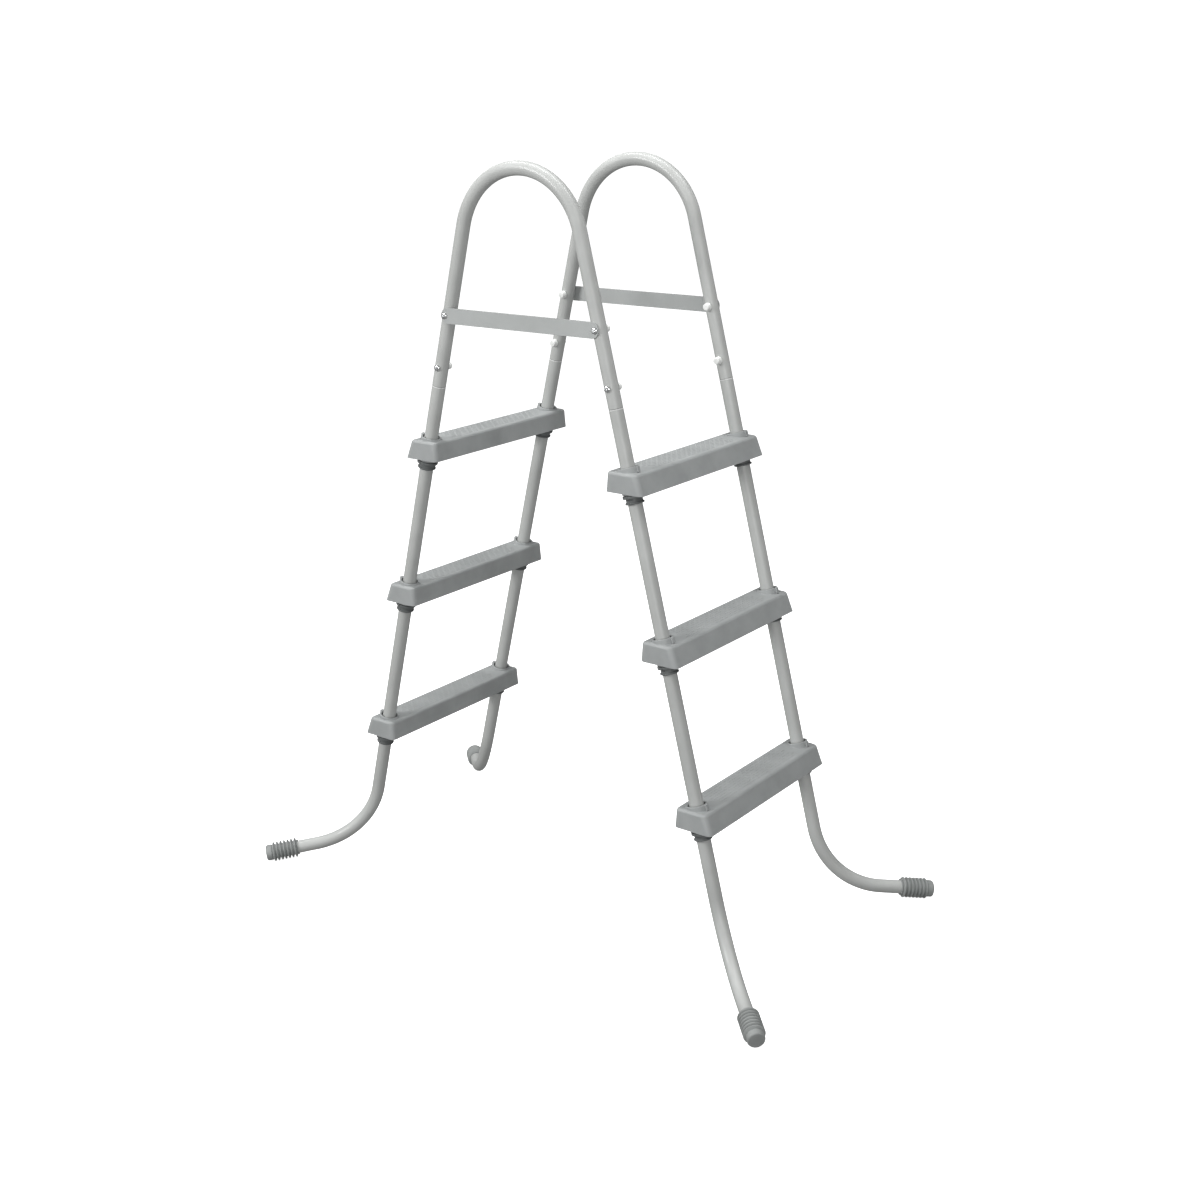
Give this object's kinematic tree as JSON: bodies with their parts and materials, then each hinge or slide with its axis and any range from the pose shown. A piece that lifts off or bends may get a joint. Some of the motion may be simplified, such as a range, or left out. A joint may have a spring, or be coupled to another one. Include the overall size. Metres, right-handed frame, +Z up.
{
  "type": "pool ladder",
  "caption": "Free-standing A-frame ladder for an above-ground pool, with bent-tube handrails, moulded steps on both sides and ribbed feet.",
  "frame": {"origin": "on the ground, in the middle of the four feet", "axes": "+X across the pool wall towards the right-hand flight, +Y along the steps towards the back handrail, +Z up"},
  "size_m": [1.167, 0.6542, 1.38],
  "materials": {
    "tube": "light grey powder coat, semi-gloss, on bent steel tube",
    "bar": "light grey powder coat, satin, on flat steel strip",
    "step": "fine-grained light grey moulded polypropylene",
    "stop": "dark grey moulded nylon",
    "screw": "bright zinc-plated steel",
    "nut": "bright zinc-plated steel",
    "nut_cap": "white moulded polyethylene",
    "foot_cap": "mid grey moulded rubber, matt"
  },
  "bodies": {
    "root": {"handrail_front": "tube", "handrail_back": "tube", "leg_front_left": "tube", "leg_front_right": "tube", "leg_back_left": "tube", "leg_back_right": "tube", "step_left_bottom": "step", "step_left_middle": "step", "step_left_top": "step", "step_right_bottom": "step", "step_right_middle": "step", "step_right_top": "step", "step_stop_front_left_bottom_inner": "stop", "step_stop_front_left_bottom_outer": "stop", "step_stop_front_left_middle_inner": "stop", "step_stop_front_left_middle_outer": "stop", "step_stop_front_left_top_inner": "stop", "step_stop_front_left_top_outer": "stop", "step_stop_front_right_bottom_inner": "stop", "step_stop_front_right_bottom_outer": "stop", "step_stop_front_right_middle_inner": "stop", "step_stop_front_right_middle_outer": "stop", "step_stop_front_right_top_inner": "stop", "step_stop_front_right_top_outer": "stop", "step_stop_back_left_bottom_inner": "stop", "step_stop_back_left_bottom_outer": "stop", "step_stop_back_left_middle_inner": "stop", "step_stop_back_left_middle_outer": "stop", "step_stop_back_left_top_inner": "stop", "step_stop_back_left_top_outer": "stop", "step_stop_back_right_bottom_inner": "stop", "step_stop_back_right_bottom_outer": "stop", "step_stop_back_right_middle_inner": "stop", "step_stop_back_right_middle_outer": "stop", "step_stop_back_right_top_inner": "stop", "step_stop_back_right_top_outer": "stop", "brace_bar_front": "bar", "brace_bar_back": "bar", "brace_screws": "screw", "brace_nuts": "nut", "brace_nut_caps": "nut_cap", "joint_screws": "screw", "joint_nuts": "nut", "joint_nut_caps": "nut_cap", "foot_cap_front_left": "foot_cap", "foot_cap_front_right": "foot_cap", "foot_cap_back_left": "foot_cap", "foot_cap_back_right": "foot_cap"}
  },
  "joints": []
}
